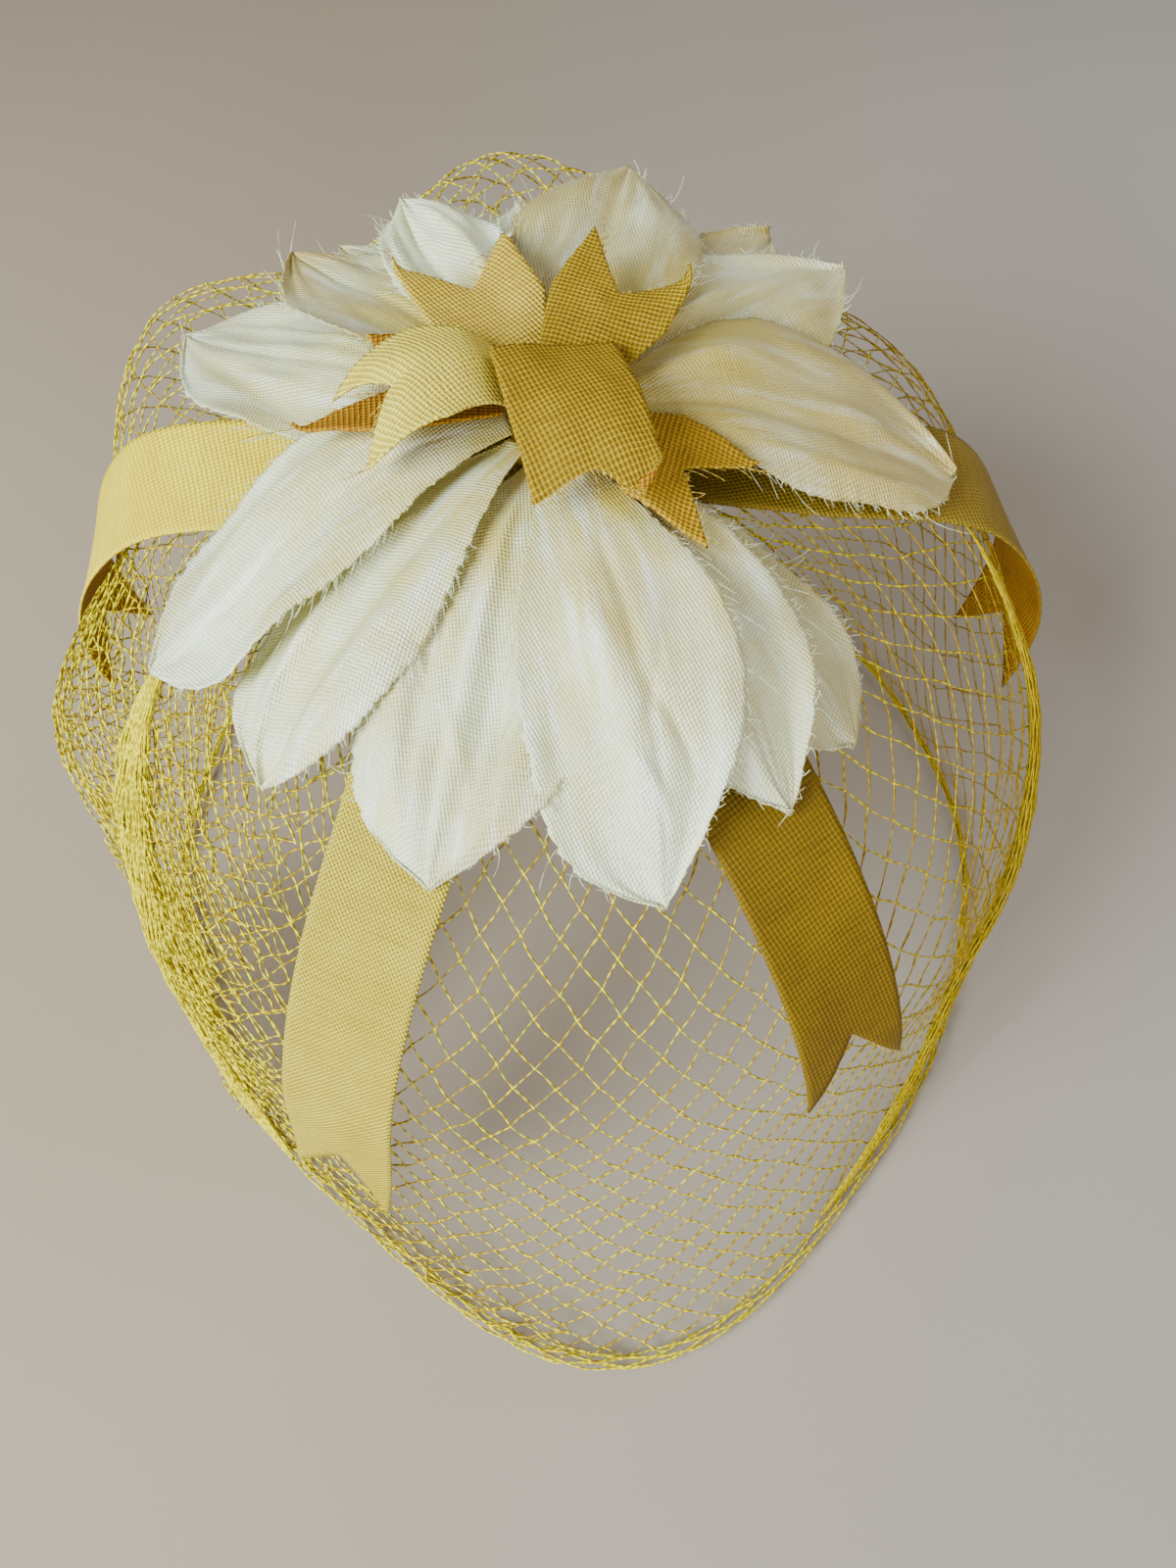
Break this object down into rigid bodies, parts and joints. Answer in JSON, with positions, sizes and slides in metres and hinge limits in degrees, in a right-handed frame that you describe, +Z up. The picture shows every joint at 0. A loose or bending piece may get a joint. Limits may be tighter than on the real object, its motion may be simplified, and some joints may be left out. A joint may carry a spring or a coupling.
{
  "type": "veil cap fascinator",
  "caption": "Open-bottomed cap of stiff diamond net gathered at its crown under a layered silk flower, a ribbon bow and long ribbon streamers, with a hair comb inside.",
  "frame": {"origin": "middle of the underside of the whole object's box, on the surface that the veil's hem rests on", "axes": "+Z up through the flower, -Y towards the front where the veil's hem flares out to a point, +X towards the wearer's left side"},
  "size_m": [0.21, 0.2319, 0.1325],
  "materials": {
    "yellow_net": "two-ply twisted yarn knotted into a wide diamond net, slightly shiny",
    "yellow_hem": "the same net bunched into a dense roll",
    "ivory_silk": "plain woven silk with a satin sheen, pressed creases and frayed edges",
    "gold_ribbon": "finely ribbed mustard ribbon",
    "straw_ribbon": "finely ribbed straw-yellow ribbon, darker on its underside",
    "cream_base": "matte felted buckram disc",
    "clear_comb": "pale translucent plastic"
  },
  "bodies": {
    "root": {"bow_tail_back": "gold_ribbon", "bow_tail_back_left": "gold_ribbon", "bow_tail_front": "gold_ribbon", "bow_tail_left": "gold_ribbon", "bow_tail_left_low": "gold_ribbon", "bow_tail_right": "gold_ribbon", "crown_base": "cream_base", "flower_core": "gold_ribbon", "hair_comb": "clear_comb", "petal_01": "ivory_silk", "petal_02": "ivory_silk", "petal_03": "ivory_silk", "petal_04": "ivory_silk", "petal_05": "ivory_silk", "petal_06": "ivory_silk", "petal_07": "ivory_silk", "petal_08": "ivory_silk", "petal_09": "ivory_silk", "petal_10": "ivory_silk", "petal_11": "ivory_silk", "petal_12": "ivory_silk", "petal_13": "ivory_silk", "petal_14": "ivory_silk", "petal_15": "ivory_silk", "streamer_left": "straw_ribbon", "streamer_right": "straw_ribbon", "streamer_side": "straw_ribbon", "veil_hem": "yellow_hem", "veil_net": "yellow_net", "veil_tuck": "yellow_hem"}
  },
  "joints": []
}
